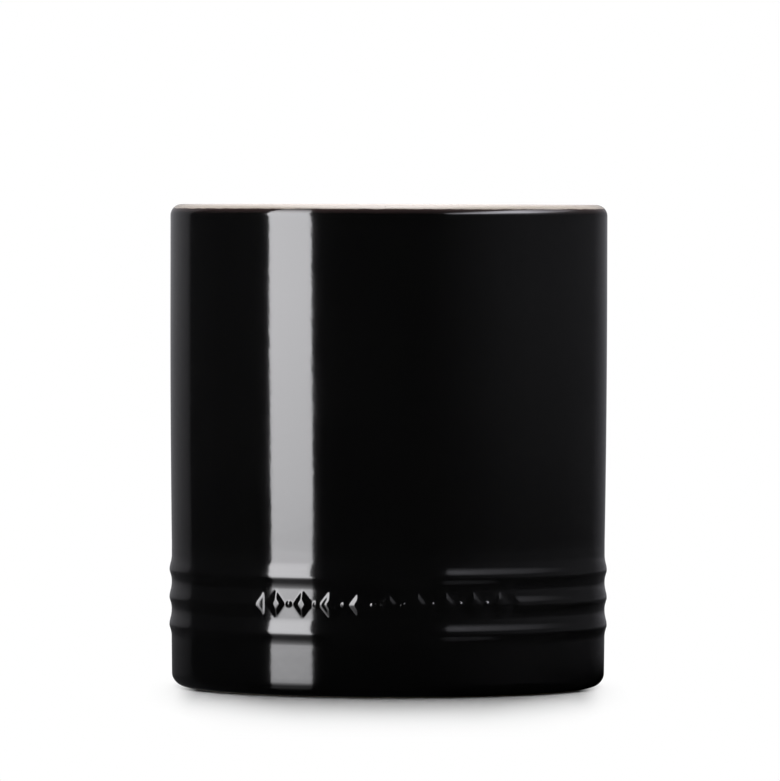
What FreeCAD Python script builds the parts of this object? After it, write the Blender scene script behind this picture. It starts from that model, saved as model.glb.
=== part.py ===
import FreeCAD, Part
import math
import os

# Utensil crock: a straight-sided stoneware pot, open at the top, with three raised ribs near its foot.
# The fired clay vessel wears three glaze coats that meet it face to face: a dark one outside, a sand one
# inside and over the lip, and a dark one on the recessed underside. The foot ring is left bare.
# Millimetres, +Z up, origin at the centre of the foot's resting plane. The front, with the relief, faces -Y.

# Overall sizes, measured over the glaze
RIM_DIAMETER = 155.0  # outside of the plumb upper wall
HEIGHT = 171.0  # resting plane to the top of the lip
WALL = 6.0  # lip and upper wall, glaze to glaze
FLOOR = 6.0  # bottom of the pot, glaze to glaze
GLAZE = 0.4  # thickness of each coat

# Outside wall
DRAW_START = 137.5  # height where the wall starts to draw in on its way down
DRAW_END = 51.0  # height where it is plumb again, above the ribs
DRAW_IN = 0.65  # how far the radius draws in between the two
FOOT_DRAW_IN = 0.13  # further draw between the lowest rib and the rounded bottom corner
CORNER_RADIUS = 4.8  # rounded bottom corner
LIP_INNER = 2.0  # radius of the lip's inner shoulder; its outer shoulder takes the rest of the wall
LAP_DROP = 1.55  # from the top of the lip down to where the dark coat starts

# Inside
BORE_DRAW_IN = 0.5  # how far the inside radius closes in from the mouth to the floor
BORE_CORNER = 9.0  # rounded corner between the inside wall and the floor

# Foot
FOOT_STEP = 0.25  # how far the foot ring stands below the glazed ledge
FOOT_LEDGE = 0.1  # flat ledge between the bottom corner and the foot ring
FOOT_WIDTH = 6.0  # width of the foot ring
FOOT_RECESS = 1.5  # depth of the underside inside the foot ring
FOOT_EDGE = 0.2  # rounded edges of the foot ring

# Ribs, steeper below their crest than above it
RIB_COUNT = 3
LOWEST_RIB = 22.05  # height of the lowest rib's crest
RIB_RISE = 0.78  # how far a crest stands out of the wall
RIB_UPPER = 5.3  # from a crest up to where its slope runs out into the wall
RIB_LOWER = 4.2  # from a crest down to where its slope runs out
RIB_VALLEY = 0.28  # plain wall between two ribs
RIB_UPPER_CREST = 6.0  # radius of a crest's upper half
RIB_LOWER_CREST = 2.8  # radius of its lower half
RIB_STEEPNESS = 1.65  # steepest slope over mean slope, where 2 leaves no straight part

# Relief in the gap of the middle rib: lozenges with a bead between each two
RELIEF_GAP = 97.0  # length round the front between the full ends of the middle rib
RIB_END = 2.6  # length of the ramp by which each of them runs out
LOZENGE_COUNT = 9
LOZENGE_PITCH = 10.2
LOZENGE_WIDTH = 7.4
LOZENGE_TALL = 10.2
LOZENGE_TOP = 0.45  # share of the outline that is left at its flat top
LOZENGE_RISE = 0.7
BEAD_RADIUS = 1.6
BEAD_RISE = 0.45
RELIEF_ROOT = 1.2  # how deep the relief reaches into the wall that carries it

# Derived sizes
RIM_R = RIM_DIAMETER / 2.0
BAND_R = RIM_R - DRAW_IN
FOOT_R = BAND_R - FOOT_DRAW_IN
LIP_OUTER = WALL - LIP_INNER
OUTER_CENTRE = (RIM_R - LIP_OUTER, HEIGHT - LIP_OUTER)
INNER_CENTRE = (RIM_R - LIP_OUTER, HEIGHT - LIP_INNER)
LAP_ANGLE = math.asin(1.0 - LAP_DROP / LIP_OUTER)
BORE_TOP_R = RIM_R - WALL
BORE_FOOT_R = BORE_TOP_R - BORE_DRAW_IN
FLOOR_Z = FOOT_RECESS + FLOOR
RING_OUT = FOOT_R - CORNER_RADIUS - FOOT_LEDGE
RING_IN = RING_OUT - FOOT_WIDTH
RIB_PITCH = RIB_UPPER + RIB_LOWER + RIB_VALLEY
RIB_HEIGHTS = [LOWEST_RIB + i * RIB_PITCH for i in range(RIB_COUNT)]
MIDDLE_RIB = RIB_HEIGHTS[RIB_COUNT // 2]
RELIEF_HEIGHT = MIDDLE_RIB + (RIB_UPPER - RIB_LOWER) / 2.0  # middle of the clear wall in the gap
GAP_ANGLE = math.degrees(RELIEF_GAP / BAND_R)
FRONT = -90.0  # degrees round +Z of the front
TOUCHING = 1e-6  # ends of edges closer than this are one point
AXIS = FreeCAD.Vector(0, 0, 1)
ORIGIN = FreeCAD.Vector(0, 0, 0)


def point(radius, height):
    """A point of the half section that is turned round +Z."""
    return FreeCAD.Vector(radius, 0, height)


def polar(centre, radius, angle):
    """A point of the half section on a circle round centre, at an angle up from outward."""
    return point(centre[0] + radius * math.cos(angle), centre[1] + radius * math.sin(angle))


def line(start, end):
    return Part.LineSegment(start, end).toShape()


def arc(centre, radius, start, end):
    """An arc of the half section between two angles."""
    middle = (start + end) / 2.0
    ends = [polar(centre, radius, angle) for angle in (start, middle, end)]
    return Part.Arc(*ends).toShape()


def draw_curve(inset):
    """The long easy curve by which the wall draws in, plumb at its upper end."""
    curve = Part.BezierCurve()
    knee = (DRAW_START + DRAW_END) / 2.0
    curve.setPoles(
        [
            point(BAND_R - inset, DRAW_END),
            point(RIM_R - inset, knee),
            point(RIM_R - inset, DRAW_START),
        ]
    )
    return curve.toShape()


def joined(pieces):
    """Edges in order, with a straight line across each gap between two of them."""
    edges = [pieces[0]]
    for piece in pieces[1:]:
        start = piece.valueAt(piece.FirstParameter)
        if start.distanceToPoint(chain_end(edges)) > TOUCHING:
            edges.append(line(chain_end(edges), start))
        edges.append(piece)
    return edges


def rib_side(length, crest):
    """Steepest slope of one side of a rib, and the radius of the hollow by which it runs out."""
    lean = RIB_STEEPNESS * math.atan(RIB_RISE / length)
    both = (length * math.sin(lean) - RIB_RISE * math.cos(lean)) / (1.0 - math.cos(lean))
    return lean, both - crest


def rib_section(height, inset):
    """One rib from its lower root to its upper one: hollow, slope, crest, slope, hollow."""
    low_lean, low_hollow = rib_side(RIB_LOWER, RIB_LOWER_CREST)
    high_lean, high_hollow = rib_side(RIB_UPPER, RIB_UPPER_CREST)
    crest_r = BAND_R + RIB_RISE
    low_root = (BAND_R + low_hollow, height - RIB_LOWER)
    high_root = (BAND_R + high_hollow, height + RIB_UPPER)
    return [
        arc(low_root, low_hollow + inset, math.pi, math.pi - low_lean),
        arc((crest_r - RIB_LOWER_CREST, height), RIB_LOWER_CREST - inset, -low_lean, 0.0),
        arc((crest_r - RIB_UPPER_CREST, height), RIB_UPPER_CREST - inset, 0.0, high_lean),
        arc(high_root, high_hollow + inset, math.pi + high_lean, math.pi),
    ]


def outside(inset, heights):
    """The outside of the pot from the foot ring up to the lap on the lip, with ribs at the given heights."""
    corner = (FOOT_R - CORNER_RADIUS, FOOT_STEP + CORNER_RADIUS)
    ledge = FOOT_STEP + inset
    pieces = [line(point(RING_OUT, ledge), point(corner[0], ledge))]
    pieces.append(arc(corner, CORNER_RADIUS - inset, -math.pi / 2.0, 0.0))
    for height in heights:
        pieces += rib_section(height, inset)
    pieces.append(draw_curve(inset))
    pieces.append(arc(OUTER_CENTRE, LIP_OUTER - inset, 0.0, LAP_ANGLE))
    return joined(pieces)


def inside(inset):
    """The inside of the pot from the lap on the lip, over the lip and down to the middle of the floor."""
    corner = (BORE_FOOT_R - BORE_CORNER, FLOOR_Z + BORE_CORNER)
    pieces = [
        arc(OUTER_CENTRE, LIP_OUTER - inset, LAP_ANGLE, math.pi / 2.0),
        arc(INNER_CENTRE, LIP_INNER - inset, math.pi / 2.0, math.pi),
        arc(corner, BORE_CORNER + inset, 0.0, -math.pi / 2.0),
        line(point(corner[0], FLOOR_Z - inset), point(0, FLOOR_Z - inset)),
    ]
    return joined(pieces)


def foot():
    """The bare underside of the clay, from its middle out over the foot ring."""
    pieces = [
        line(point(0, FOOT_RECESS + GLAZE), point(RING_IN, FOOT_RECESS + GLAZE)),
        arc((RING_IN + FOOT_EDGE, FOOT_EDGE), FOOT_EDGE, math.pi, 1.5 * math.pi),
        arc((RING_OUT - FOOT_EDGE, FOOT_EDGE), FOOT_EDGE, -math.pi / 2.0, 0.0),
    ]
    return joined(pieces)


def chain_start(edges):
    return edges[0].valueAt(edges[0].FirstParameter)


def chain_end(edges):
    return edges[-1].valueAt(edges[-1].LastParameter)


def closed_face(edges):
    """A face inside a chain of edges, closed by a straight line from its end to its start."""
    return Part.Face(Part.Wire(edges + [line(chain_end(edges), chain_start(edges))]))


def coat_face(skin, back):
    """A face between two chains that run side by side, the skin of a coat and its back."""
    ends = [
        line(chain_start(skin), chain_start(back)),
        line(chain_end(skin), chain_end(back)),
    ]
    return Part.Face(Part.Wire(Part.sortEdges(skin + back + ends)[0]))


def turned(face, start, sweep):
    """A half section turned round +Z by sweep degrees, from start degrees on."""
    placed = face.copy()
    placed.rotate(ORIGIN, AXIS, start)
    return placed.revolve(ORIGIN, AXIS, sweep)


def with_gap(make_face):
    """A turned pot whose middle rib stops short of the front on both sides."""
    side_ribs = [height for height in RIB_HEIGHTS if height != MIDDLE_RIB]
    front = turned(make_face(side_ribs), FRONT - GAP_ANGLE / 2.0, GAP_ANGLE)
    back = turned(make_face(RIB_HEIGHTS), FRONT + GAP_ANGLE / 2.0, 360.0 - GAP_ANGLE)
    return back.fuse(front)


def facing(shape, degrees):
    """Turns a shape that was built facing +X to face the given direction."""
    shape.rotate(ORIGIN, AXIS, degrees)
    return shape


def rib_end(inset, side):
    """The end of the middle rib on one side of the gap, cut off by a ramp that runs out into the wall."""
    skin = joined(rib_section(MIDDLE_RIB, inset))
    root = BAND_R - RELIEF_ROOT
    high = line(chain_end(skin), point(root, MIDDLE_RIB + RIB_UPPER))
    low = line(point(root, MIDDLE_RIB - RIB_LOWER), chain_start(skin))
    face = Part.Face(Part.Wire(joined(skin + [high, low])))
    sweep = math.degrees(RIB_END / BAND_R)
    place = FRONT + side * GAP_ANGLE / 2.0
    sector = turned(face, place - max(side, 0) * sweep, sweep)
    deep = root - RELIEF_ROOT
    outline = [(deep, 0), (BAND_R + RIB_RISE - inset, 0), (BAND_R - inset, RIB_END), (deep, RIB_END)]
    corners = [FreeCAD.Vector(x, -side * y, MIDDLE_RIB - RIB_PITCH) for x, y in outline]
    ramp = Part.Face(Part.makePolygon(corners + corners[:1])).extrude(AXIS * (2.0 * RIB_PITCH))
    return sector.common(facing(ramp, place))


def lozenge(inset, degrees):
    """A four-sided lozenge with a flat top, its root sunk in the wall."""
    slope = (1.0 - LOZENGE_TOP) / LOZENGE_RISE

    def outline(depth):
        share = 1.0 + slope * depth
        half_width = share * LOZENGE_WIDTH / 2.0
        half_tall = share * LOZENGE_TALL / 2.0
        x = BAND_R - inset - depth
        corners = [(half_width, 0.0), (0.0, half_tall), (-half_width, 0.0), (0.0, -half_tall)]
        points = [FreeCAD.Vector(x, y, RELIEF_HEIGHT + z) for y, z in corners]
        return Part.makePolygon(points + points[:1])

    return facing(Part.makeLoft([outline(RELIEF_ROOT), outline(-LOZENGE_RISE)], True, True), degrees)


def bead(inset, degrees):
    """A round bead, most of it sunk in the wall."""
    centre = FreeCAD.Vector(BAND_R + BEAD_RISE - BEAD_RADIUS, 0, RELIEF_HEIGHT)
    return facing(Part.makeSphere(BEAD_RADIUS - inset, centre), degrees)


def relief(inset):
    """Everything that stands in the gap of the middle rib, with its ends."""
    step = math.degrees(LOZENGE_PITCH / BAND_R)
    places = [FRONT + (i - (LOZENGE_COUNT - 1) / 2.0) * step for i in range(LOZENGE_COUNT)]
    solids = [lozenge(inset, place) for place in places]
    solids += [bead(inset, place + step / 2.0) for place in places[:-1]]
    solids += [rib_end(inset, side) for side in (-1, 1)]
    return solids


def stoneware_body():
    """The fired clay: wall, floor, ribs, relief and bare foot ring in one piece."""

    def section(heights):
        return closed_face(joined(foot() + outside(GLAZE, heights) + inside(GLAZE)))

    return with_gap(section).multiFuse(relief(GLAZE)).removeSplitter()


def outer_glaze(body):
    """The dark coat on the outside, from the foot ring to the lap on the lip."""

    def section(heights):
        return coat_face(outside(0.0, heights), outside(GLAZE, heights))

    return with_gap(section).multiFuse(relief(0.0)).cut(body).removeSplitter()


def liner_glaze(body):
    """The sand coat over the lip, down the inside and across the floor, its back cut to fit the clay."""
    blank = turned(coat_face(inside(0.0), inside(2.0 * GLAZE)), 0.0, 360.0)
    return blank.cut(body).removeSplitter()


def base_glaze():
    """The dark coat on the underside, inside the foot ring."""
    return Part.makeCylinder(RING_IN, GLAZE, FreeCAD.Vector(0, 0, FOOT_RECESS))


def main():
    os.makedirs("parts", exist_ok=True)
    body = stoneware_body()
    nodes = {
        "stoneware_body": body,
        "outer_glaze": outer_glaze(body),
        "liner_glaze": liner_glaze(body),
        "base_glaze": base_glaze(),
    }
    for name, shape in nodes.items():
        solid = shape.Solids[0]
        print(name, "solids:", len(shape.Solids), "valid:", solid.isValid(), "mm3:", round(solid.Volume))
        solid.exportStep("parts/" + name + ".step")


main()
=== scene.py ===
import logging
import math
from abc import ABC, abstractmethod
from collections.abc import Mapping, Sequence
from dataclasses import dataclass
from enum import Enum

import bpy
import numpy as np
from mathutils import Matrix, Vector


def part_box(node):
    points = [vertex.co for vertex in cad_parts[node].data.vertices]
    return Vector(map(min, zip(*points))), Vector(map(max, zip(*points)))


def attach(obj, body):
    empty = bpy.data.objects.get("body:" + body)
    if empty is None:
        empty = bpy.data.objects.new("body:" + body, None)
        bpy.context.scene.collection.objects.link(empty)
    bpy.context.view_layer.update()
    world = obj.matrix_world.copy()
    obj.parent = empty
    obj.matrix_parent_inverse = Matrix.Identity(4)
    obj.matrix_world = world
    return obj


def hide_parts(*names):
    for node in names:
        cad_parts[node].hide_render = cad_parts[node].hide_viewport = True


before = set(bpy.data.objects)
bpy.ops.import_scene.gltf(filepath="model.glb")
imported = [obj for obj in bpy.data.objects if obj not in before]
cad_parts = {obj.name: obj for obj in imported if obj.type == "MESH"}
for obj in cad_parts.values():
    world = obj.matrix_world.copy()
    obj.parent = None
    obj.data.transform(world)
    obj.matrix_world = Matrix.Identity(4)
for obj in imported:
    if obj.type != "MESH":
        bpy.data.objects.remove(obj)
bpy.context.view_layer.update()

# A glazed stoneware utensil crock, in metres, +Z up. Angles run round the axis from the front, which
# faces -Y, towards +X. The half section is drawn in (radius, height) points.

LOG = logging.getLogger("crock")
MM = 0.001
DEGREES = 180.0 / math.pi
BODY = "root"
NOISE_MIDDLE = 0.5
Array = np.ndarray
Node = bpy.types.Node
Socket = bpy.types.NodeSocket
Edges = tuple[float, float]
Colour = tuple[float, float, float, float]
Stops = tuple[tuple[float, float], ...]
WHITE: Colour = (1.0, 1.0, 1.0, 1.0)
BLACK: Colour = (0.0, 0.0, 0.0, 1.0)


class Part(Enum):
    """The frame's nodes, each of which one piece here stands for."""

    CLAY = "stoneware_body"
    OUTER = "outer_glaze"
    LINER = "liner_glaze"
    BASE = "base_glaze"


class Slot(Enum):
    """The record's material slots."""

    CLAY = "fired_clay"
    DARK = "dark_glaze"
    SAND = "sand_glaze"


class MixSocket(Enum):
    """Numbers of a Mix node's sockets when it mixes colours."""

    FACTOR = 0
    FIRST = 6
    SECOND = 7
    RESULT = 2


def grey(level: float) -> Colour:
    """A colour of one level."""
    return level, level, level, 1.0


class Val:
    """A number that varies over a surface: an output socket whose arithmetic adds Math nodes."""

    def __init__(self, graph: "Graph", socket: Socket) -> None:
        """Keeps the socket and the graph that it is part of."""
        self.graph = graph
        self.socket = socket

    def _math(self, operation: str, first: "Val | float", second: "Val | float" = 0.0) -> "Val":
        """Adds a Math node on two values and returns its result."""
        return self.graph.value("ShaderNodeMath", {"operation": operation}, {0: first, 1: second})

    def __add__(self, other: "Val | float") -> "Val":
        """Sum."""
        return self._math("ADD", self, other)

    def __radd__(self, other: float) -> "Val":
        """Sum, with a plain number on the left."""
        return self._math("ADD", other, self)

    def __sub__(self, other: "Val | float") -> "Val":
        """Difference."""
        return self._math("SUBTRACT", self, other)

    def __rsub__(self, other: float) -> "Val":
        """Difference, with a plain number on the left."""
        return self._math("SUBTRACT", other, self)

    def __mul__(self, other: "Val | float") -> "Val":
        """Product."""
        return self._math("MULTIPLY", self, other)

    def __rmul__(self, other: float) -> "Val":
        """Product, with a plain number on the left."""
        return self._math("MULTIPLY", other, self)

    def __neg__(self) -> "Val":
        """Opposite."""
        return self._math("MULTIPLY", self, -1.0)

    def atan2(self, other: "Val") -> "Val":
        """Angle whose tangent is this value over the other one."""
        return self._math("ARCTAN2", self, other)

    def asin(self) -> "Val":
        """Angle whose sine is this value."""
        return self._math("ARCSINE", self)

    def step(self, low: float, high: float) -> "Val":
        """A smooth step.

        Args:
            low: where the step is 0, which it stays beyond.
            high: where the step is 1, which it stays beyond; this may be the smaller one.

        Returns:
            The step.
        """
        settings = {"interpolation_type": "SMOOTHSTEP"}
        ends = {"From Min": min(low, high), "From Max": max(low, high)}
        levels = {"To Min": float(low > high), "To Max": float(low <= high)}
        return self.graph.value("ShaderNodeMapRange", settings, {"Value": self, **ends, **levels})

    def plateau(self, edges: tuple[float, float, float, float]) -> "Val":
        """1 between the two inner edges, 0 outside the two outer ones."""
        return self.step(edges[0], edges[1]) * self.step(edges[3], edges[2])

    def curve(self, stops: Stops) -> "Val":
        """A level that runs in straight lines through stops.

        Args:
            stops: a place on this value and its level each, in order.

        Returns:
            The level, which stays the same beyond the first and the last stop.
        """
        first, last = stops[0][0], stops[-1][0]
        shares = tuple(((place - first) / (last - first), level) for place, level in stops)
        share = (self - first) * (1.0 / (last - first))
        return self.graph.value("ShaderNodeValToRGB", {"stops": shares}, {0: share})


class Graph:
    """A node tree, written down one node at a time, and the place that its patterns go by."""

    def __init__(self, tree: bpy.types.NodeTree, coordinates: str = "Object") -> None:
        """Starts from an empty tree.

        Args:
            tree: the node tree.
            coordinates: the output of Texture Coordinate that gives the place.
        """
        self.tree = tree
        tree.nodes.clear()
        self.place = self.node("ShaderNodeTexCoord").outputs[coordinates]

    def node(
        self,
        kind: str,
        settings: Mapping[str, object] | None = None,
        inputs: Mapping[int | str, object] | None = None,
    ) -> Node:
        """Adds one node.

        Args:
            kind: the node's type.
            settings: the node's own properties, which are set first; "stops" are a ramp's grey levels.
            inputs: a value, a Val or a socket for each named or numbered input.

        Returns:
            The new node.
        """
        made = self.tree.nodes.new(kind)
        for key, setting in (settings or {}).items():
            if key == "stops":
                self.fill_ramp(made.color_ramp, setting)
            else:
                setattr(made, key, setting)
        for key, source in (inputs or {}).items():
            self.feed(made.inputs[key], source)
        return made

    @staticmethod
    def fill_ramp(ramp: bpy.types.ColorRamp, stops: Stops) -> None:
        """Gives a ramp its stops.

        Args:
            ramp: the ramp, with the two stops that it starts with.
            stops: a place from 0 to 1 and a grey level each, in order.
        """
        ramp.elements.remove(ramp.elements[1])
        ramp.elements[0].position = stops[0][0]
        ramp.elements[0].color = grey(stops[0][1])
        for place, level in stops[1:]:
            ramp.elements.new(place).color = grey(level)

    def feed(self, socket: Socket, source: object) -> None:
        """Fills an input.

        Args:
            socket: the input.
            source: a Val or a socket to link it to, or a plain value.
        """
        link = source.socket if isinstance(source, Val) else source
        if isinstance(link, Socket):
            self.tree.links.new(link, socket)
        else:
            socket.default_value = link

    def value(
        self,
        kind: str,
        settings: Mapping[str, object] | None = None,
        inputs: Mapping[int | str, object] | None = None,
        output: int | str = 0,
    ) -> Val:
        """Adds one node and returns one of its outputs as a Val.

        Args:
            kind: the node's type.
            settings: the node's own properties.
            inputs: what its inputs take.
            output: name or number of the output.

        Returns:
            That output.
        """
        return Val(self, self.node(kind, settings, inputs).outputs[output])

    def mix(self, factor: Val, first: object, second: object) -> Socket:
        """Blends two colours.

        Args:
            factor: 0 gives the first colour, 1 the second.
            first: a colour or a colour socket.
            second: a colour or a colour socket.

        Returns:
            The blended colour's socket.
        """
        inputs = {
            MixSocket.FACTOR.value: factor,
            MixSocket.FIRST.value: first,
            MixSocket.SECOND.value: second,
        }
        return self.node("ShaderNodeMix", {"data_type": "RGBA"}, inputs).outputs[MixSocket.RESULT.value]

    def blend(self, factor: Val, first: Node, second: Node) -> Node:
        """Mixes two shaders: a factor of 0 gives the first, 1 the second."""
        inputs = {0: factor, 1: first.outputs[0], 2: second.outputs[0]}
        return self.node("ShaderNodeMixShader", inputs=inputs)

    def axes(self) -> tuple[Val, Val, Val]:
        """The place's three numbers."""
        x, y, z = self.node("ShaderNodeSeparateXYZ", inputs={0: self.place}).outputs
        return Val(self, x), Val(self, y), Val(self, z)

    def radius(self) -> Val:
        """Distance from the axis: length of the place with its height taken out.

        Returns:
            The distance.
        """
        factors = {0: self.place, 1: (1.0, 1.0, 0.0)}
        flat = self.node("ShaderNodeVectorMath", {"operation": "MULTIPLY"}, factors).outputs[0]
        return self.value("ShaderNodeVectorMath", {"operation": "LENGTH"}, {0: flat}, "Value")

    def noise(self, grain: float, layers: float = 2.0) -> Val:
        """Soft random spots between 0 and 1.

        Args:
            grain: size of a spot, in metres.
            layers: how many finer layers are added.

        Returns:
            The noise value.
        """
        inputs = {"Vector": self.place, "Scale": 1.0 / grain, "Detail": layers}
        return self.value("ShaderNodeTexNoise", inputs=inputs)

    def principled(self, colour: Socket, roughness: Val, relief: Val, depth: float) -> Node:
        """Adds a Principled shader with a bump.

        Args:
            colour: its base colour.
            roughness: its roughness.
            relief: the bump's relief, from 0 to 1.
            depth: depth of that relief, in metres.

        Returns:
            The shader.
        """
        raised = self.node("ShaderNodeBump", inputs={"Height": relief, "Distance": depth})
        inputs = {"Base Color": colour, "Roughness": roughness, "Normal": raised.outputs[0]}
        return self.node("ShaderNodeBsdfPrincipled", inputs=inputs)


class Surface(ABC):
    """Something with a material of its own, whose nodes it writes itself."""

    name: str

    def material(self) -> bpy.types.Material:
        """Makes the material round the shader that paint() gives.

        Returns:
            The material.
        """
        made = bpy.data.materials.new(self.name)
        made.use_nodes = True
        graph = Graph(made.node_tree)
        shader = self.paint(graph)
        graph.node("ShaderNodeOutputMaterial", inputs={"Surface": shader.outputs[0]})
        return made

    @abstractmethod
    def paint(self, graph: Graph) -> Node:
        """Writes the nodes.

        Args:
            graph: the material's nodes.

        Returns:
            The shader.
        """


@dataclass(frozen=True, kw_only=True)
class Glaze(Surface):
    """A gloss glaze in two close tones, with a faint orange peel and slow waves in the gloss."""

    lap_height: float
    tones: tuple[Colour, Colour]
    brown: Colour
    gloss: float
    gloss_change: float
    peel_grain: float
    peel_depth: float
    peel_layers: float = 1.0
    wave_grain: float
    wave_depth: float
    wave_layers: float = 3.0
    edge_grain: float = 4.0 * MM
    edge_waver: float = 0.5 * MM

    def paint(self, graph: Graph) -> Node:
        """Writes the nodes: clouds of the two tones, the glaze's own marks, peel and waves.

        Args:
            graph: the material's nodes.

        Returns:
            The shader.
        """
        clouds = graph.noise(self.wave_grain, self.wave_layers)
        peel = graph.noise(self.peel_grain, self.peel_layers)
        colour = self.marked(graph, graph.mix(clouds, *self.tones))
        roughness = self.gloss + self.gloss_change * clouds
        relief = peel * (self.peel_depth / self.wave_depth) + clouds
        return graph.principled(colour, roughness, relief, self.wave_depth)

    def wavering_height(self, graph: Graph) -> Val:
        """Height with the waver of a glaze's edge added to it."""
        waver = (graph.noise(self.edge_grain) - NOISE_MIDDLE) * self.edge_waver
        return graph.axes()[2] + waver

    @abstractmethod
    def marked(self, graph: Graph, body: Socket) -> Socket:
        """Adds the glaze's own marks to its colour.

        Args:
            graph: the material's nodes.
            body: the colour of the clouds.

        Returns:
            The colour with its marks.
        """


@dataclass(frozen=True, kw_only=True)
class DarkGlaze(Glaze):
    """Gloss black glaze that fires to brown where it thins out at its upper edge."""

    name: str = "dark_glaze"
    tones: tuple[Colour, Colour] = ((0.0040, 0.0040, 0.0042, 1.0), (0.0060, 0.0058, 0.0058, 1.0))
    brown: Colour = (0.055, 0.036, 0.035, 1.0)
    thin_band: float = 1.9 * MM
    gloss: float = 0.055
    gloss_change: float = 0.05
    peel_grain: float = 2.6 * MM
    peel_depth: float = 0.010 * MM
    wave_grain: float = 26.0 * MM
    wave_depth: float = 0.05 * MM

    def marked(self, graph: Graph, body: Socket) -> Socket:
        """Brown along the lap."""
        thin = self.wavering_height(graph).step(self.lap_height - self.thin_band, self.lap_height)
        return graph.mix(thin, body, self.brown)


@dataclass(frozen=True, kw_only=True)
class SandGlaze(Glaze):
    """Gloss sand glaze with fine iron specks, stained brown where the dark coat laps onto it."""

    lip_radius: float
    name: str = "sand_glaze"
    tones: tuple[Colour, Colour] = ((0.67, 0.59, 0.52, 1.0), (0.73, 0.65, 0.58, 1.0))
    speck: Colour = (0.26, 0.18, 0.13, 1.0)
    brown: Colour = (0.11, 0.075, 0.065, 1.0)
    stain_band: float = 0.35 * MM
    stain_fade: float = 1.0 * MM
    speck_grain: float = 0.9 * MM
    speck_layers: float = 1.0
    speck_edge: Edges = (0.70, 0.76)
    speck_share: float = 0.35
    gloss: float = 0.09
    gloss_change: float = 0.06
    peel_grain: float = 3.0 * MM
    peel_depth: float = 0.005 * MM
    wave_grain: float = 22.0 * MM
    wave_depth: float = 0.025 * MM

    def marked(self, graph: Graph, body: Socket) -> Socket:
        """Adds scattered specks, and the brown stain outside the lip's top.

        Args:
            graph: the material's nodes.
            body: the colour of the clouds.

        Returns:
            The colour with its marks.
        """
        specks = graph.noise(self.speck_grain, self.speck_layers).step(*self.speck_edge)
        low = self.wavering_height(graph).step(self.lap_height + self.stain_band, self.lap_height)
        outside = graph.radius().step(self.lip_radius, self.lip_radius + self.stain_fade)
        specked = graph.mix(specks * self.speck_share, body, self.speck)
        return graph.mix(low * outside, specked, self.brown)


@dataclass(frozen=True)
class BareClay(Surface):
    """Bare fired stoneware: matt buff clay with a fine grain and dark grog specks."""

    name: str = "fired_clay"
    tones: tuple[Colour, Colour] = ((0.52, 0.41, 0.29, 1.0), (0.64, 0.53, 0.40, 1.0))
    grog: Colour = (0.20, 0.13, 0.08, 1.0)
    cloud_grain: float = 14.0 * MM
    cloud_layers: float = 4.0
    grog_grain: float = 1.1 * MM
    grog_layers: float = 1.0
    grog_edge: Edges = (0.68, 0.74)
    grog_share: float = 0.6
    roughness: float = 0.78
    roughness_change: float = 0.12
    grain: float = 0.6 * MM
    grain_layers: float = 3.0
    grain_depth: float = 0.06 * MM

    def paint(self, graph: Graph) -> Node:
        """Writes the nodes: cloudy buff, specks and a sandy bump.

        Args:
            graph: the material's nodes.

        Returns:
            The shader.
        """
        clouds = graph.noise(self.cloud_grain, self.cloud_layers)
        grain = graph.noise(self.grain, self.grain_layers)
        specks = graph.noise(self.grog_grain, self.grog_layers).step(*self.grog_edge)
        body = graph.mix(clouds, *self.tones)
        colour = graph.mix(specks * self.grog_share, body, self.grog)
        roughness = self.roughness + self.roughness_change * grain
        return graph.principled(colour, roughness, grain, self.grain_depth)


def run(start: Sequence[float], end: Sequence[float], count: int) -> Array:
    """Points of a straight line of the half section: start plus an even share of the way to end."""
    return np.linspace(start, end, count)


def arc(centre: Sequence[float], radius: float, start: float, end: float, count: int) -> Array:
    """Points of an arc of the half section: centre plus radius times cosine and sine of even angles."""
    angles = np.linspace(start, end, count)
    return np.column_stack((centre[0] + radius * np.cos(angles), centre[1] + radius * np.sin(angles)))


def turned(section: Array, angles: Array) -> Array:
    """Carries a half section round the axis.

    A point at angle a is radius times sine a, minus radius times cosine a, and its height.

    Args:
        section: (rows, 2) points, or (rows, columns, 2) where they change with the angle.
        angles: (columns,) angles from the front.

    Returns:
        (rows, columns, 3) points.
    """
    if section.ndim == 2:
        section = np.repeat(section[:, None, :], len(angles), axis=1)
    radius, height = section[..., 0], section[..., 1]
    return np.stack((radius * np.sin(angles), -radius * np.cos(angles), height), axis=-1)


def soft_size(distance: Array, softness: float) -> Array:
    """Size of a distance, rounded at zero: the root of its square plus the softness squared."""
    return np.sqrt(distance**2 + softness**2)


def soft_floor(value: Array, softness: float) -> Array:
    """A value cut off at zero with a rounded corner: half of itself plus its softened size."""
    return (value + soft_size(value, softness)) / 2.0


def soft_least(first: Array, second: Array, softness: float) -> Array:
    """The smaller of two values with a rounded corner: the first less its rise over the second."""
    return first - soft_floor(first - second, softness)


@dataclass(frozen=True)
class RibSide:
    """One side of a rib: a round crest, a straight slope and a hollow that runs out into the wall."""

    length: float
    crest: float
    lean: float

    def height(self, distance: Array, rise: float) -> Array:
        """How far the rib stands out at a distance from its crest line.

        A circle turns from the crest line to the lean, a tangent line goes on down, and a hollow circle
        turns back to the wall, which it meets at the side's length.

        Args:
            distance: distances from the crest line on this side.
            rise: height of the crest.

        Returns:
            Heights over the wall, 0 beyond the side's length.
        """
        sine, cosine = math.sin(self.lean), math.cos(self.lean)
        hollow = (self.length * sine - rise * cosine) / (1.0 - cosine) - self.crest
        turn = self.crest * sine
        toe = self.length - hollow * sine
        near = np.clip(distance, 0.0, self.length)
        over = rise - self.crest + np.sqrt(self.crest**2 - np.minimum(near, turn) ** 2)
        slope = rise - self.crest * (1.0 - cosine) - (near - turn) * math.tan(self.lean)
        under = hollow - np.sqrt(hollow**2 - (self.length - np.maximum(near, toe)) ** 2)
        return np.select((near < turn, near < toe), (over, slope), under)


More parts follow.
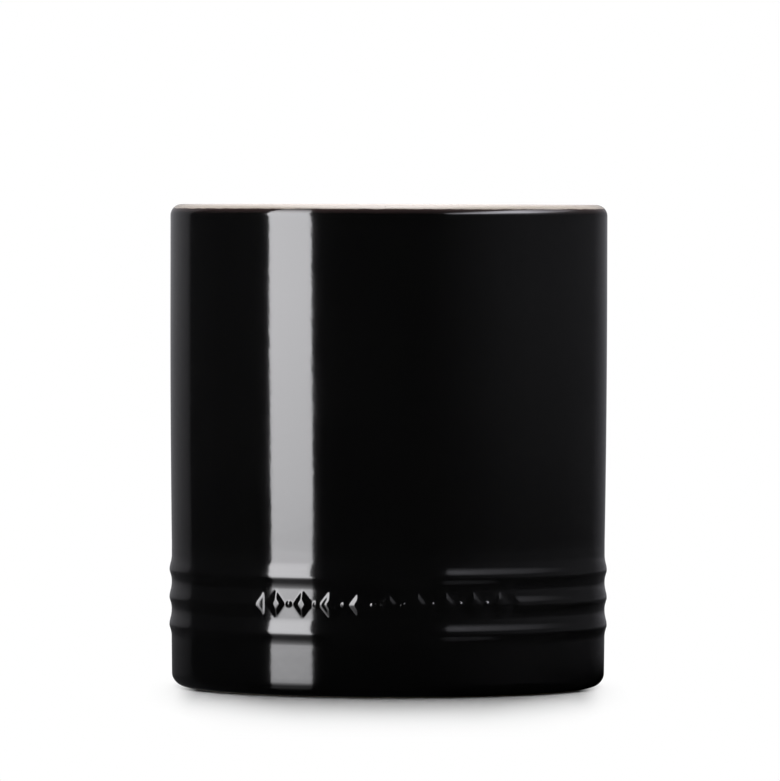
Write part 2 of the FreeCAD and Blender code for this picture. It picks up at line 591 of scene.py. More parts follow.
@dataclass(frozen=True)
class Form:
    """The crock's half section; sizes that the frame's boxes hold are read from them.

    The rows count the points of each stretch of the section.
    """

    wall: float = 6.0 * MM
    lip_inner: float = 2.0 * MM
    draw_start: float = 137.5 * MM
    draw_end: float = 51.0 * MM
    draw_in: float = 0.65 * MM
    foot_draw_in: float = 0.13 * MM
    corner_radius: float = 4.8 * MM
    bore_draw_in: float = 0.5 * MM
    bore_corner: float = 9.0 * MM
    foot_ledge: float = 0.1 * MM
    foot_width: float = 6.0 * MM
    foot_edge: float = 0.2 * MM
    lowest_rib: float = 22.05 * MM
    rib_rise: float = 0.78 * MM
    rib_valley: float = 0.28 * MM
    rib_upper: RibSide = RibSide(5.3 * MM, 6.0 * MM, math.radians(13.8))
    rib_lower: RibSide = RibSide(4.2 * MM, 2.8 * MM, math.radians(17.4))
    relief_gap: float = 97.0 * MM
    rib_end: float = 2.6 * MM
    lozenge_count: int = 9
    lozenge_pitch: float = 10.2 * MM
    lozenge_width: float = 7.4 * MM
    lozenge_tall: float = 10.2 * MM
    lozenge_top: float = 0.45
    lozenge_rise: float = 0.7 * MM
    bead_radius: float = 1.6 * MM
    bead_rise: float = 0.45 * MM
    crease: float = 0.35 * MM
    edge_crease: float = 0.08 * MM
    ledge_rows: int = 3
    corner_rows: int = 16
    wall_rows: tuple[int, ...] = (8, 110, 6, 26, 8)
    lap_rows: int = 14
    lip_rows: tuple[int, int] = (16, 14)
    bore_rows: int = 26
    bore_corner_rows: int = 18
    floor_rows: int = 16
    under_rows: int = 4
    edge_rows: int = 6

    @property
    def height(self) -> float:
        """Resting plane to the top of the lip."""
        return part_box(Part.LINER.value)[1][2]

    @property
    def coat(self) -> float:
        """Thickness of a glaze coat."""
        low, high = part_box(Part.BASE.value)
        return high[2] - low[2]

    @property
    def lap_height(self) -> float:
        """Height where the dark coat ends on the lip."""
        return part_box(Part.OUTER.value)[1][2]

    @property
    def foot_step(self) -> float:
        """Height of the glazed ledge over the resting plane."""
        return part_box(Part.OUTER.value)[0][2]

    @property
    def recess(self) -> float:
        """Height of the glazed underside over the resting plane."""
        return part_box(Part.BASE.value)[0][2]

    @property
    def floor(self) -> float:
        """Height of the glazed floor inside."""
        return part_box(Part.LINER.value)[0][2] + self.coat

    @property
    def band_radius(self) -> float:
        """Radius of the plain wall between the ribs."""
        return -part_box(Part.OUTER.value)[0][1] - self.rib_rise

    @property
    def rim_radius(self) -> float:
        """Radius of the plumb upper wall."""
        return self.band_radius + self.draw_in

    @property
    def foot_radius(self) -> float:
        """Radius of the wall where the bottom corner starts."""
        return self.band_radius - self.foot_draw_in

    @property
    def ring_outer(self) -> float:
        """Outer radius of the foot ring."""
        return self.foot_radius - self.corner_radius - self.foot_ledge

    @property
    def ring_inner(self) -> float:
        """Inner radius of the foot ring."""
        return self.ring_outer - self.foot_width

    @property
    def lip_outer(self) -> float:
        """Radius of the lip's outer half."""
        return self.wall - self.lip_inner

    @property
    def lip_outer_centre(self) -> tuple[float, float]:
        """Centre of the lip's outer half in the half section."""
        return self.rim_radius - self.lip_outer, self.height - self.lip_outer

    @property
    def lip_inner_centre(self) -> tuple[float, float]:
        """Centre of the lip's inner half in the half section."""
        return self.rim_radius - self.lip_outer, self.height - self.lip_inner

    @property
    def lap_angle(self) -> float:
        """Angle round the lip, up from outward, where the dark coat ends."""
        return math.asin((self.lap_height - self.lip_outer_centre[1]) / self.lip_outer)

    @property
    def corner_centre(self) -> tuple[float, float]:
        """Centre of the rounded bottom corner in the half section."""
        return self.foot_radius - self.corner_radius, self.foot_step + self.corner_radius

    @property
    def rib_heights(self) -> tuple[float, float, float]:
        """Heights of the three crests."""
        pitch = self.rib_upper.length + self.rib_valley + self.rib_lower.length
        return self.lowest_rib, self.lowest_rib + pitch, self.lowest_rib + 2.0 * pitch

    @property
    def rib_span(self) -> tuple[float, float]:
        """Heights where the lowest rib starts and the highest one ends."""
        return self.lowest_rib - self.rib_lower.length, self.rib_heights[2] + self.rib_upper.length

    @property
    def relief_height(self) -> float:
        """Height of the middle of the relief, halfway over the middle rib's width."""
        return self.rib_heights[1] + (self.rib_upper.length - self.rib_lower.length) / 2.0

    def rib(self, up: Array) -> Array:
        """How far a rib stands out: its upper side over the crest line, its lower side under it.

        Args:
            up: heights over the crest line.

        Returns:
            Heights over the wall.
        """
        upper = self.rib_upper.height(up, self.rib_rise)
        lower = self.rib_lower.height(-up, self.rib_rise)
        return np.where(up > 0.0, upper, lower)

    def lozenges(self, along: Array, up: Array) -> Array:
        """Rise of the row of lozenges.

        A lozenge falls off with the sum of the shares of its half width and half height, is cut level
        at its top, and has its creases rounded. Along the row it repeats.

        Args:
            along: lengths round the wall from the front.
            up: heights over the middle of the relief.

        Returns:
            Rise over the wall.
        """
        reach = (self.lozenge_count - 1) / 2.0
        index = np.clip(np.round(along / self.lozenge_pitch), -reach, reach)
        side = soft_size(along - index * self.lozenge_pitch, self.crease)
        tall = soft_size(up, self.crease)
        share = 1.0 - 2.0 * side / self.lozenge_width - 2.0 * tall / self.lozenge_tall
        slope = self.lozenge_rise * share / (1.0 - self.lozenge_top)
        above = soft_floor(slope, self.edge_crease)
        return soft_least(above, np.full_like(above, self.lozenge_rise), self.edge_crease)

    def beads(self, along: Array, up: Array) -> Array:
        """Rise of the beads between the lozenges: a round cap about each middle.

        Args:
            along: lengths round the wall from the front.
            up: heights over the middle of the relief.

        Returns:
            Rise over the wall.
        """
        reach = self.lozenge_count / 2.0 - 1.0
        index = np.clip(np.round(along / self.lozenge_pitch - 0.5) + 0.5, -reach, reach)
        squared = (along - index * self.lozenge_pitch) ** 2 + up**2
        dome = np.sqrt(np.maximum(self.bead_radius**2 - squared, 0.0))
        return soft_floor(dome - self.bead_radius + self.bead_rise, self.edge_crease)

    def wall_radius(self, angles: Array, heights: Array) -> Array:
        """Radius of the glazed outside wall.

        The plain wall falls off with the square of the depth below draw_start, and again in a line to
        the foot. The ribs add their profile. At the gap the middle rib is cut off by a ramp that comes
        down from its crest, and the relief fills the gap.

        Args:
            angles: (columns,) angles from the front.
            heights: (rows,) heights.

        Returns:
            (rows, columns) radii.
        """
        low, middle, high = self.rib_heights
        z = heights[:, None]
        depth = np.clip((self.draw_start - z) / (self.draw_start - self.draw_end), 0.0, 1.0)
        foot_top, foot_low = self.rib_span[0], self.corner_centre[1]
        foot = np.clip((foot_top - z) / (foot_top - foot_low), 0.0, 1.0)
        plain = self.rim_radius - self.draw_in * depth**2 - self.foot_draw_in * foot
        along = (angles * self.band_radius)[None, :]
        into_gap = (self.relief_gap / 2.0 - np.abs(along)) / self.rib_end
        ramp = self.rib_rise * (1.0 - into_gap)
        ribs = self.rib(z - low) + self.rib(z - high)
        ribs = ribs + np.maximum(soft_least(self.rib(z - middle), ramp, self.edge_crease), 0.0)
        up = z - self.relief_height
        return plain + ribs + self.lozenges(along, up) + self.beads(along, up)

    def outside(self, angles: Array, inset: float, fineness: float) -> Array:
        """Outside from the foot ledge up to the lap.

        Args:
            angles: (columns,) angles from the front.
            inset: depth under the glazed surface.
            fineness: share of the full number of rows.

        Returns:
            (rows, columns, 2) radii and heights.
        """

        def rows(count: int) -> int:
            """Number of rows at this fineness."""
            return max(2, round(count * fineness))

        corner_r, corner_z = self.corner_centre
        ledge_z = self.foot_step + inset
        turn, lap = rows(self.corner_rows), rows(self.lap_rows)
        ledge = run((self.ring_outer, ledge_z), (corner_r, ledge_z), rows(self.ledge_rows))
        corner = arc(self.corner_centre, self.corner_radius - inset, -math.pi / 2.0, 0.0, turn)
        lip = arc(self.lip_outer_centre, self.lip_outer - inset, 0.0, self.lap_angle, lap)
        stops = (corner_z, *self.rib_span, self.draw_end, self.draw_start, self.lip_outer_centre[1])
        stretches = zip(stops, stops[1:], self.wall_rows)
        spans = [np.linspace(low, high, rows(count) + 1)[1:] for low, high, count in stretches]
        heights = np.concatenate(spans)[:-1]
        radii = self.wall_radius(angles, heights) - inset
        wall = np.stack(np.broadcast_arrays(radii, heights[:, None]), axis=-1)
        lower = np.repeat(np.concatenate((ledge[:-1], corner))[:, None, :], len(angles), axis=1)
        upper = np.repeat(lip[:, None, :], len(angles), axis=1)
        return np.concatenate((lower, wall, upper))

    def inside(self, inset: float) -> Array:
        """Lip, inside wall and floor, from the lap to just short of the axis.

        Args:
            inset: depth under the glazed surface.

        Returns:
            (rows, 2) radii and heights, without the point on the axis.
        """
        bore_foot = self.rim_radius - self.wall - self.bore_draw_in
        corner = (bore_foot - self.bore_corner, self.floor + self.bore_corner)
        outer, inner = self.lip_rows
        over = arc(self.lip_outer_centre, self.lip_outer - inset, self.lap_angle, math.pi / 2.0, outer)
        lip = arc(self.lip_inner_centre, self.lip_inner - inset, math.pi / 2.0, math.pi, inner)
        turn = arc(corner, self.bore_corner + inset, 0.0, -math.pi / 2.0, self.bore_corner_rows)
        wall = run(lip[-1], turn[0], self.bore_rows)
        floor = run(turn[-1], (0.0, self.floor - inset), self.floor_rows)
        return np.concatenate((over[:-1], lip[:-1], wall[:-1], turn[:-1], floor[:-1]))

    def foot(self) -> Array:
        """Bare underside and foot ring, from just off the axis to the ledge.

        Returns:
            (rows, 2) radii and heights, without the point on the axis.
        """
        edge, rows = self.foot_edge, self.edge_rows
        bed = self.recess + self.coat
        under = run((0.0, bed), (self.ring_inner, bed), self.under_rows)[1:]
        inner = arc((self.ring_inner + edge, edge), edge, math.pi, 1.5 * math.pi, rows)
        outer = arc((self.ring_outer - edge, edge), edge, -math.pi / 2.0, 0.0, rows)
        return np.concatenate((under, inner, outer))


def grid_faces(rows: int, columns: int, closed: bool) -> Array:
    """Quads of a grid that closes round its columns, and round its rows if asked.

    Args:
        rows: number of rings of points.
        columns: points in a ring.
        closed: whether the last ring joins the first.

    Returns:
        (faces, 4) point numbers.
    """
    row = np.arange(rows if closed else rows - 1)[:, None]
    column = np.arange(columns)[None, :]
    beside = (column + 1) % columns
    low, high = row * columns, (row + 1) % rows * columns
    corners = (low + column, low + beside, high + beside, high + column)
    return np.stack(np.broadcast_arrays(*corners), axis=-1).reshape(-1, 4)


def even_angles(count: int) -> Array:
    """Angles of evenly spaced columns."""
    return np.linspace(-math.pi, math.pi, count, endpoint=False)


def front_angles(reach: float, fine: float, coarse: float) -> Array:
    """Angles of columns that stand closer together at the front.

    Args:
        reach: half the width of the front.
        fine: step within it.
        coarse: step round the rest.

    Returns:
        (columns,) angles, each once.
    """
    front = np.linspace(-reach, reach, round(2.0 * reach / fine), endpoint=False)
    span = 2.0 * (math.pi - reach)
    rest = reach + np.linspace(0.0, span, round(span / coarse), endpoint=False)
    return np.concatenate((front, rest))


def joined_poles(rings: Array, first: float, last: float) -> tuple[Array, Array, Array]:
    """A surface of rings closed on the axis at both ends.

    Two poles follow the rings' points, and triangles fan out from each of them to the ring beside it.

    Args:
        rings: (rows, columns, 3) points.
        first: height of the pole before the first ring.
        last: height of the pole after the last ring.

    Returns:
        Points, quads and triangles.
    """
    rows, columns, _ = rings.shape
    poles = np.array(((0.0, 0.0, first), (0.0, 0.0, last)))
    points = np.concatenate((rings.reshape(-1, 3), poles))
    column = np.arange(columns)
    beside = (column + 1) % columns
    ring, pole = (rows - 1) * columns, rows * columns
    start = np.column_stack((np.full(columns, pole), beside, column))
    end = np.column_stack((ring + column, ring + beside, np.full(columns, pole + 1)))
    return points, grid_faces(rows, columns, False), np.concatenate((start, end))


class Piece(ABC):
    """One piece of the crock, which stands for one node of the frame."""

    part: Part
    slot: Slot
    name: str
    sharp: float = math.radians(35.0)

    @abstractmethod
    def shape(self) -> tuple[Array, Array, Array]:
        """Works the surface out.

        Returns:
            Points, quads and triangles; the triangles may be none.
        """

    def build(self) -> bpy.types.Object:
        """Puts the surface into a smooth mesh whose sharp corners stay sharp.

        Returns:
            The piece's object.
        """
        points, quads, triangles = self.shape()
        mesh = bpy.data.meshes.new(self.name)
        mesh.from_pydata(points.tolist(), [], quads.tolist() + triangles.tolist())
        mesh.polygons.foreach_set("use_smooth", np.ones(len(mesh.polygons), dtype=bool))
        mesh.set_sharp_from_angle(angle=self.sharp)
        mesh.update()
        made = bpy.data.objects.new(self.name, mesh)
        bpy.context.scene.collection.objects.link(made)
        return made

    def dress(self, made: bpy.types.Object, finish: bpy.types.Material) -> None:
        """Gives the piece its finish and its place in the frame.

        Args:
            made: the piece's object.
            finish: its material.
        """
        made.data.materials.append(finish)
        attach(made, BODY)
        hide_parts(self.part.value)
        LOG.info("%s: %d faces, %s", made.name, len(made.data.polygons), finish.name)


@dataclass
class OuterCoat(Piece):
    """The dark coat outside, with the ribs and the relief."""

    form: Form
    part: Part = Part.OUTER
    slot: Slot = Slot.DARK
    name: str = "outer_coat"
    front_reach: float = math.radians(40.0)
    fine_step: float = math.radians(0.27)
    coarse_step: float = math.radians(2.5)
    back_fineness: float = 0.24

    def shape(self) -> tuple[Array, Array, Array]:
        """Works out the glazed skin up to the lap, and the coat's back down again.

        Returns:
            Points, quads and no triangles.
        """
        angles = front_angles(self.front_reach, self.fine_step, self.coarse_step)
        skin = turned(self.form.outside(angles, 0.0, 1.0), angles)
        back = turned(self.form.outside(angles, self.form.coat, self.back_fineness), angles)[::-1]
        rings = np.concatenate((skin, back))
        rows, columns, _ = rings.shape
        return rings.reshape(-1, 3), grid_faces(rows, columns, True), np.empty((0, 3), dtype=int)


@dataclass
class LinerCoat(Piece):
    """The sand coat over the lip, down the inside and across the floor."""

    form: Form
    part: Part = Part.LINER
    slot: Slot = Slot.SAND
    name: str = "liner_coat"
    columns: int = 240

    def shape(self) -> tuple[Array, Array, Array]:
        """Works out the coat's back from the axis up to the lap, and the glazed skin back to the axis.

        Returns:
            Points, quads and triangles.
        """
        angles = even_angles(self.columns)
        back = self.form.inside(self.form.coat)[::-1]
        skin = self.form.inside(0.0)
        rings = turned(np.concatenate((back, skin)), angles)
        return joined_poles(rings, self.form.floor - self.form.coat, self.form.floor)


@dataclass
class ClayBody(Piece):
    """The fired clay under the coats, bare at the foot ring."""

    form: Form
    part: Part = Part.CLAY
    slot: Slot = Slot.CLAY
    name: str = "clay_body"
    front_reach: float = math.radians(40.0)
    fine_step: float = math.radians(0.6)
    coarse_step: float = math.radians(2.5)
    fineness: float = 0.24

    def shape(self) -> tuple[Array, Array, Array]:
        """Works out the underside from its middle, the foot ring, the outside up and the inside down.

        Returns:
            Points, quads and triangles.
        """
        form = self.form
        angles = front_angles(self.front_reach, self.fine_step, self.coarse_step)
        foot = turned(form.foot(), angles)
        outside = turned(form.outside(angles, form.coat, self.fineness), angles)
        inside = turned(form.inside(form.coat)[1:], angles)
        rings = np.concatenate((foot, outside, inside))
        return joined_poles(rings, form.recess + form.coat, form.floor - form.coat)


@dataclass
class BaseCoat(Piece):
    """The dark coat on the underside, inside the foot ring."""

    form: Form
    part: Part = Part.BASE
    slot: Slot = Slot.DARK
    name: str = "base_coat"
    columns: int = 240
    rings: int = 20

    def shape(self) -> tuple[Array, Array, Array]:
        """Works out a thin disc: underside out from the axis, rim, and top back to the axis.

        Returns:
            Points, quads and triangles.
        """
        form = self.form
        low, high = form.recess, form.recess + form.coat
        under = run((0.0, low), (form.ring_inner, low), self.rings)[1:]
        top = run((form.ring_inner, high), (0.0, high), self.rings)[:-1]
        rings = turned(np.concatenate((under, top)), even_angles(self.columns))
        return joined_poles(rings, low, high)


@dataclass(frozen=True)
class TopLight:
    """A level softbox overhead, mostly behind the crock, that the camera and the gloss don't see."""

    name: str = "top_light"
    height: float = 1.2
    front: float = -0.085
    back: float = 1.1
    width: float = 1.0
    radiance: float = 5.5
    watts_per_radiance: float = 4.0

    def build(self) -> None:
        """Adds the lamp; its power is its radiance times its area, in Blender's watts."""
        deep = self.back - self.front
        lamp = bpy.data.lights.new(self.name, "AREA")
        lamp.shape = "RECTANGLE"
        lamp.size = self.width
        lamp.size_y = deep
        lamp.energy = self.watts_per_radiance * self.radiance * self.width * deep
        made = bpy.data.objects.new(self.name, lamp)
        made.location = (0.0, (self.front + self.back) / 2.0, self.height)
        made.visible_camera = False
        made.visible_glossy = False
        bpy.context.scene.collection.objects.link(made)


class StageMesh(Surface):
    """A mesh of the studio, which either the gloss alone sees or everything but the gloss."""

    for_gloss: bool = True

    @abstractmethod
    def shape(self) -> tuple[Array, Array]:
        """Works the mesh out.

        Returns:
            (points, 3) places and (faces, corners) point numbers.
        """

    def build(self) -> None:
        """Adds the mesh with its material."""
        points, faces = self.shape()
        mesh = bpy.data.meshes.new(self.name)
        mesh.from_pydata(points.tolist(), [], faces.tolist())
        mesh.materials.append(self.material())
        made = bpy.data.objects.new(self.name, mesh)
        made.visible_glossy = self.for_gloss
        made.visible_camera = made.visible_diffuse = made.visible_shadow = not self.for_gloss
        bpy.context.scene.collection.objects.link(made)


@dataclass(frozen=True)
class StripLight(StageMesh):
    """A tall narrow softbox at the front left that bends a little and dims towards its lower end.

    The outline holds a height, its left side and its right side; the glow goes by height.
    """

    name: str = "strip_light"
    distance: float = 1.0
    facing: float = math.radians(-53.8)
    tint: Colour = (1.0, 0.997, 1.025, 1.0)
    outline: tuple[tuple[float, float, float], ...] = (
        (-2.2, -0.960, -0.490), (-1.39, -0.600, -0.056), (-0.785, -0.350, 0.140),
        (-0.62, -0.250, 0.190), (-0.52, -0.224, 0.208), (-0.34, -0.182, 0.236),
        (-0.17, -0.158, 0.256), (0.02, -0.148, 0.271), (0.156, -0.168, 0.252),
        (0.40, -0.208, 0.223), (0.77, -0.284, 0.172), (1.00, -0.356, 0.115),
        (1.34, -0.452, 0.030), (1.83, -0.640, -0.170), (2.20, -0.800, -0.330),
    )
    glow: Stops = (
        (-2.2, 0.03), (-1.6, 0.05), (-1.3, 0.1), (-1.0, 0.25), (-0.80, 0.48), (-0.68, 0.4),
        (-0.60, 0.38), (-0.47, 0.65), (-0.30, 1.6), (-0.14, 3.5), (-0.075, 5.7), (-0.052, 6.5),
        (-0.045, 7.2), (-0.017, 9.0), (0.0, 9.75), (0.026, 10.4), (0.065, 10.95), (0.128, 11.8),
        (0.30, 12.4), (0.75, 11.5), (1.00, 8.5), (1.34, 5.2), (1.83, 2.2), (2.20, 1.5),
    )

    def shape(self) -> tuple[Array, Array]:
        """Works the face out, square to its direction from the crock.

        A row of the face runs between the outline's two sides at its height.

        Returns:
            (points, 3) places and (faces, 4) point numbers.
        """
        table = np.array(self.outline)
        height, sides = table[:, 0], table[:, 1:]
        outward = np.array((math.sin(self.facing), -math.cos(self.facing), 0.0))
        across = np.array((math.cos(self.facing), math.sin(self.facing), 0.0))
        up = np.array((0.0, 0.0, 1.0))
        points = self.distance * outward + sides[..., None] * across + height[:, None, None] * up
        low = 2 * np.arange(len(height) - 1)[:, None]
        return points.reshape(-1, 3), low + np.array((0, 1, 3, 2))

    def paint(self, graph: Graph) -> Node:
        """Light whose strength follows the height."""
        glow = graph.axes()[2].curve(self.glow)
        return graph.node("ShaderNodeEmission", inputs={"Color": self.tint, "Strength": glow})


@dataclass(frozen=True)
class Floor(StageMesh):
    """A round pale floor, white to the camera away from the crock, with the crock's shadow in front.

    The fades go by the square of the place across, by that square times the way to the front, and by
    the distance from the middle.
    """

    name: str = "floor"
    for_gloss: bool = False
    radius: float = 1.6
    corners: int = 96
    pale: float = 0.9
    side_fade: Stops = (
        (4500e-6, 1.0), (4830e-6, 0.79), (5230e-6, 0.45), (5430e-6, 0.28),
        (5640e-6, 0.2), (5960e-6, 0.12), (6500e-6, 0.05), (7200e-6, 0.0),
    )
    front_fade: Stops = ((150e-6, 1.0), (860e-6, 0.0))
    far_fade: Edges = (0.30, 0.13)

    def shape(self) -> tuple[Array, Array]:
        """A flat disc: one point carried round the axis."""
        ring = turned(np.array(((self.radius, 0.0),)), even_angles(self.corners))
        return ring[0], np.arange(self.corners)[None, :]

    def paint(self, graph: Graph) -> Node:
        """Writes matt white that turns into the surroundings' white beside the crock and far from it.

        Args:
            graph: the material's nodes.

        Returns:
            The shader.
        """
        x, y, _ = graph.axes()
        across = x * x
        near = across.curve(self.side_fade) * (across * -y).curve(self.front_fade)
        near = near * graph.radius().step(*self.far_fade)
        seen = graph.value("ShaderNodeLightPath", output="Is Camera Ray")
        plain = graph.node("ShaderNodeBsdfDiffuse", inputs={"Color": grey(self.pale)})
        white = graph.node("ShaderNodeEmission", inputs={"Color": WHITE})
        return graph.blend((1.0 - near) * seen, plain, white)


@dataclass(frozen=True)
class PaintedFloorShadow(StageMesh):
    """A black sheet just above the floor, which only the gloss sees: painted shadow of the floor at the
    right of the crock, and a painted contact shadow close round the foot there.
    """

    name: str = "painted_floor_shadow"
    left: float = 0.0
    right: float = 0.40
    front: float = -0.10
    back: float = 0.45
    lift: float = 0.2 * MM
    # The fades below place the painted shadow and, with the last two, a painted contact shadow round
    # the foot.
    away_fade: Stops = ((0.09, 1.0), (0.15, 0.75), (0.21, 0.3), (0.30, 0.0))
    round_fade: Edges = (60.0, 85.0)
    contact_shadow_away: Edges = (0.094, 0.086)
    contact_shadow_round: Edges = (5.0, 20.0)

    def shape(self) -> tuple[Array, Array]:
        """Works out a flat sheet just above the floor.

        Returns:
            (points, 3) places and one face of all of them.
        """
        x = np.array((self.left, self.right, self.right, self.left))
        y = np.array((self.front, self.front, self.back, self.back))
        return np.column_stack((x, y, np.full_like(x, self.lift))), np.arange(len(x))[None, :]

    def paint(self, graph: Graph) -> Node:
        """Writes black painted shadow that clears with the distance from the axis, and at once towards
        the front.

        Args:
            graph: the material's nodes.

        Returns:
            The shader.
        """
        away = graph.radius()
        x, y, _ = graph.axes()
        turn = x.atan2(-y) * DEGREES
        # Painted shadow of the floor to the right, which the glaze reflects in place of the real
        # floor's shadow.
        painted_shadow = away.curve(self.away_fade) * turn.step(*self.round_fade)
        # A narrow painted contact shadow close round the foot, which darkens the bottom corner's
        # reflection.
        ring = away.step(*self.contact_shadow_away) * turn.step(*self.contact_shadow_round)
        clear = graph.node("ShaderNodeBsdfTransparent")
        black = graph.node("ShaderNodeBsdfDiffuse", inputs={"Color": BLACK})
        return graph.blend(painted_shadow + ring * (1.0 - painted_shadow), clear, black)


@dataclass(frozen=True)
class Backdrop(StageMesh):
    """A dim curved backdrop at the back left, which only the gloss sees, darker towards the floor.

    It is a clear ring that glows on one side. Directions are in degrees, round from the back towards
    +X, and heights in metres.
    """

    name: str = "backdrop"
    radius: float = 0.65
    low: float = -0.45
    high: float = 2.0
    columns: int = 96
    tint: Colour = (1.0, 0.995, 1.05, 1.0)
    round_level: Stops = (
        (-57.7, 0.0), (-54.7, 0.138), (-49.4, 0.17), (-43.5, 0.19), (-36.6, 0.208), (-21.8, 0.245),
        (-14.3, 0.213), (-6.8, 0.185), (6.8, 0.185), (14.3, 0.085), (21.8, 0.0),
    )
    height_share: Stops = (
        (-0.45, 0.0), (-0.11, 0.09), (-0.05, 0.17), (-0.022, 0.26), (-0.005, 0.43), (0.025, 0.62),
        (0.042, 0.66), (0.076, 0.71), (0.11, 0.81), (0.128, 0.9), (0.165, 1.04), (0.5, 1.1),
    )

    def shape(self) -> tuple[Array, Array]:
        """Works out the ring: an upright line carried round the axis.

        Returns:
            (points, 3) places and (faces, 4) point numbers.
        """
        line = np.array(((self.radius, self.low), (self.radius, self.high)))
        rings = turned(line, even_angles(self.columns))
        return rings.reshape(-1, 3), grid_faces(len(line), self.columns, False)

    def paint(self, graph: Graph) -> Node:
        """Writes light, by direction and height, that is added to what shows through.

        Args:
            graph: the material's nodes.

        Returns:
            The shader.
        """
        x, y, z = graph.axes()
        turn = x.atan2(y) * DEGREES
        glow = turn.curve(self.round_level) * z.curve(self.height_share)
        clear = graph.node("ShaderNodeBsdfTransparent")
        light = graph.node("ShaderNodeEmission", inputs={"Color": self.tint, "Strength": glow})
        return graph.node("ShaderNodeAddShader", inputs={0: clear.outputs[0], 1: light.outputs[0]})


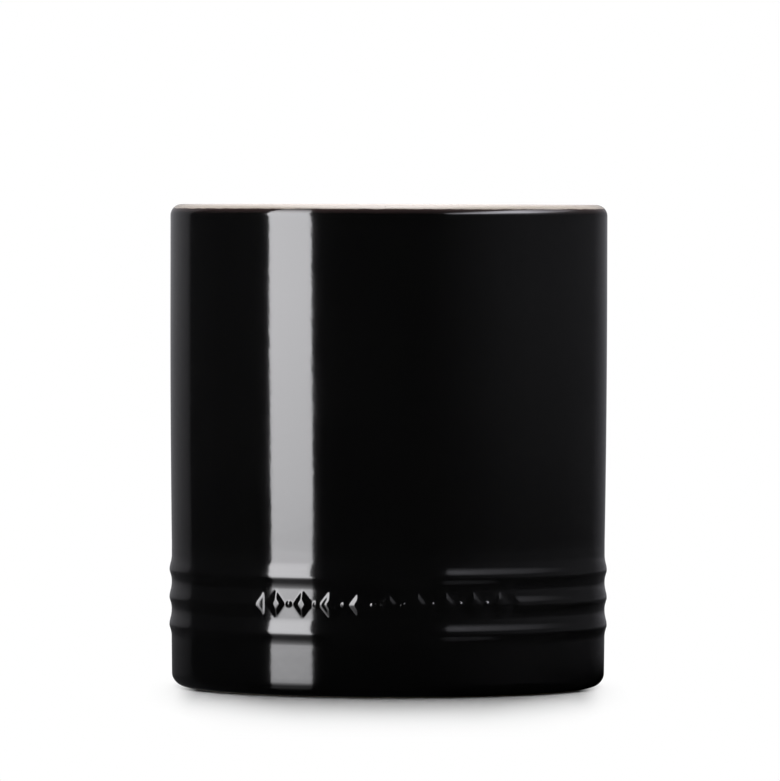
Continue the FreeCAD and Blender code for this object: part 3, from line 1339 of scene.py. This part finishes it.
@dataclass(frozen=True)
class Room:
    """The surroundings: white to the camera, a dim studio in reflections, a little light all round.

    Directions are in degrees: round from the front towards +X, and up from level.
    """

    name: str = "studio"
    ambient: float = 0.06
    tint: Colour = (1.0, 0.995, 1.08, 1.0)
    round_level: Stops = (
        (-180.0, 0.125), (-172.0, 0.074), (-165.0, 0.03), (-100.0, 0.03), (-79.0, 0.04), (-40.0, 0.022),
        (20.0, 0.015), (38.0, 0.055), (62.0, 0.125), (80.0, 0.145), (104.0, 0.12), (138.0, 0.075),
        (148.0, 0.13), (162.0, 0.20), (165.0, 0.218), (172.0, 0.176), (180.0, 0.125),
    )
    up_share: Stops = (
        (-30.0, 0.0), (-18.0, 0.07), (-12.0, 0.18), (-6.0, 0.24), (-3.3, 0.27), (-2.9, 0.42),
        (-2.4, 0.6), (-1.4, 0.74), (-0.3, 1.0), (0.8, 0.86), (2.5, 0.81), (5.0, 0.8), (14.0, 0.82),
        (20.0, 1.0), (30.0, 1.1),
    )
    panel_radiance: float = 7.5
    panel_edge: Edges = (31.0, 33.5)
    panel_middle: float = 36.0
    panel_left: Stops = (
        (28.0, 0.0), (37.0, 0.1), (46.5, 0.36), (55.0, 0.77), (64.0, 0.95), (75.0, 1.0),
    )
    panel_slant: float = -2.0
    panel_right: Stops = (
        (85.0, 1.0), (92.0, 0.8), (99.0, 0.56), (104.0, 0.46), (112.0, 0.25), (140.0, 0.0),
    )
    panel_up: Stops = (
        (12.0, 0.0), (19.0, 0.05), (23.0, 0.10), (26.0, 0.30), (29.0, 0.85), (31.0, 1.0), (44.0, 1.0),
        (50.0, 0.0),
    )
    low_radiance: float = 0.14
    low_round: tuple[float, float, float, float] = (31.0, 33.5, 55.0, 70.0)
    low_up: tuple[float, float, float, float] = (-42.0, -36.0, -32.0, -28.0)
    below_level: float = 0.008
    below_up: Edges = (-6.0, -14.0)
    overhead_side: Stops = ((-28.0, 0.0), (-6.0, 1.0), (4.0, 1.0), (24.0, 0.0))
    overhead_back: Edges = (-0.1, 0.1)
    overhead_up: Stops = ((0.08, 0.0), (0.2, 0.7), (0.5, 0.6), (0.7, 1.2), (0.87, 2.6), (1.0, 4.6))

    def build(self) -> None:
        """Writes the world's nodes: each kind of ray meets its own strength of light."""
        world = bpy.data.worlds.new(self.name)
        bpy.context.scene.world = world
        world.use_nodes = True
        graph = Graph(world.node_tree, "Generated")
        path = graph.node("ShaderNodeLightPath")
        camera = Val(graph, path.outputs["Is Camera Ray"])
        through = Val(graph, path.outputs["Is Transmission Ray"])
        glossy = Val(graph, path.outputs["Is Glossy Ray"])
        white = camera + through
        strength = white + glossy * self.reflected(graph) + (1.0 - white - glossy) * self.ambient
        colour = graph.mix(glossy, WHITE, self.tint)
        light = graph.node("ShaderNodeBackground", inputs={"Color": colour, "Strength": strength})
        graph.node("ShaderNodeOutputWorld", inputs={"Surface": light.outputs[0]})

    def reflected(self, graph: Graph) -> Val:
        """Writes what the gloss shows.

        It is the sum of dim walls, a long panel high at the right, a dim low one, a patch overhead and
        a faint level below.

        Args:
            graph: the world's nodes.

        Returns:
            The radiance in each direction.
        """
        x, y, z = graph.axes()
        turn = x.atan2(-y) * DEGREES
        rise = z.asin() * DEGREES
        walls = turn.curve(self.round_level) * rise.curve(self.up_share)
        slanted = turn + (rise - self.panel_middle) * self.panel_slant
        left = turn.step(*self.panel_edge) * slanted.curve(self.panel_left)
        sides = left * turn.curve(self.panel_right)
        panel = sides * rise.curve(self.panel_up) * self.panel_radiance
        low = turn.plateau(self.low_round) * rise.plateau(self.low_up) * self.low_radiance
        side = (x.atan2(z) * DEGREES).curve(self.overhead_side)
        above = side * y.step(*self.overhead_back) * z.curve(self.overhead_up)
        return walls + panel + low + above + rise.step(*self.below_up) * self.below_level


@dataclass(frozen=True)
class View:
    """A camera with a long lens at about the lip's height."""

    name: str = "camera"
    distance: float = 3.095
    height: float = 0.1776
    aim_height: float = 0.1050
    side: float = 0.0005
    lens: float = 402.06
    sensor: float = 36.0
    roll: float = math.radians(0.13)

    def build(self) -> None:
        """Adds the camera, aimed at the middle of the picture and rolled about its own axis."""
        data = bpy.data.cameras.new(self.name)
        data.lens = self.lens
        data.sensor_width = self.sensor
        made = bpy.data.objects.new(self.name, data)
        place = Vector((self.side, -self.distance, self.height))
        look = Vector((self.side, 0.0, self.aim_height)) - place
        turn = look.to_track_quat("-Z", "Y").to_matrix().to_4x4() @ Matrix.Rotation(self.roll, 4, "Z")
        made.matrix_world = Matrix.Translation(place) @ turn
        bpy.context.scene.collection.objects.link(made)
        bpy.context.scene.camera = made


def main() -> None:
    """Builds the crock's pieces, dresses them, and sets up the studio round them."""
    logging.basicConfig(level=logging.INFO, format="%(name)s %(message)s")
    form = Form()
    finishes = {
        Slot.CLAY: BareClay().material(),
        Slot.DARK: DarkGlaze(lap_height=form.lap_height).material(),
        Slot.SAND: SandGlaze(
            lap_height=form.lap_height, lip_radius=form.lip_outer_centre[0]
        ).material(),
    }
    for piece in (ClayBody(form), OuterCoat(form), LinerCoat(form), BaseCoat(form)):
        piece.dress(piece.build(), finishes[piece.slot])
    for item in (StripLight(), TopLight(), Floor(), PaintedFloorShadow(), Backdrop(), Room(), View()):
        item.build()
        LOG.info("studio: %s", item.name)
    bpy.context.scene.view_settings.view_transform = "Standard"


if __name__ == "__main__":
    main()
